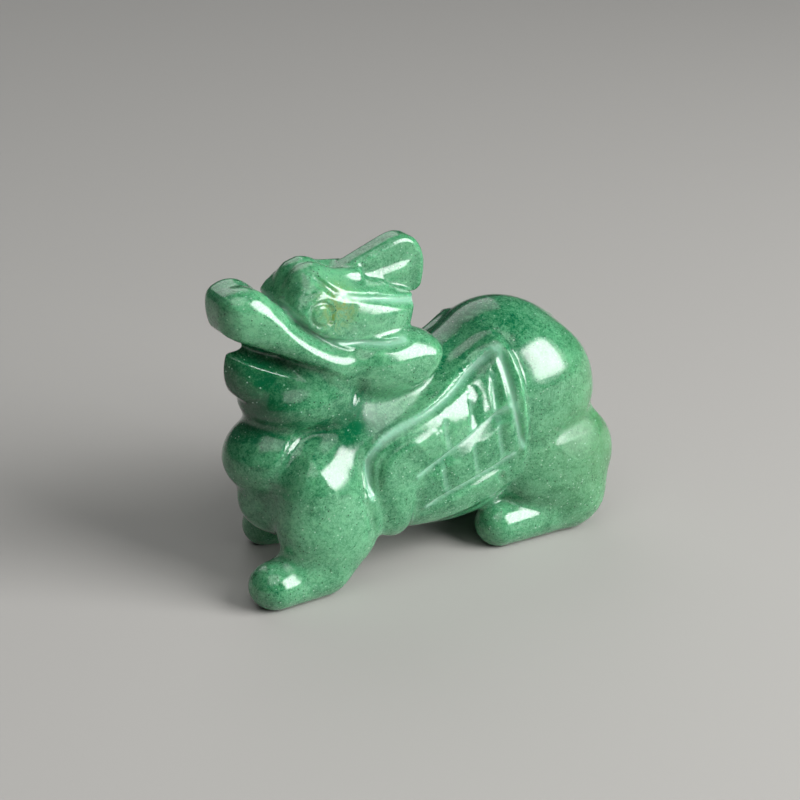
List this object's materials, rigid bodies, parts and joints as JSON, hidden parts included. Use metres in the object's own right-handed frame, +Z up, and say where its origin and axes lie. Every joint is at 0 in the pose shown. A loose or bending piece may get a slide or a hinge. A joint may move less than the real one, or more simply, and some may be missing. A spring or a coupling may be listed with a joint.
{
  "type": "pixiu figure",
  "caption": "Winged guardian lion with an upturned open-mouthed head, fanned crest, folded feathered wings and short legs, carved from a single polished green stone.",
  "frame": {"origin": "on the surface that the figure stands on, under the middle of its bounding box", "axes": "+X runs from the head to the tail, +Z is up, and the figure's left side is -Y"},
  "size_m": [0.053, 0.0226, 0.041],
  "materials": {
    "stone": "high polish, translucent green aventurine with mica flecks"
  },
  "bodies": {
    "root": {"pixiu": "stone"}
  },
  "joints": []
}
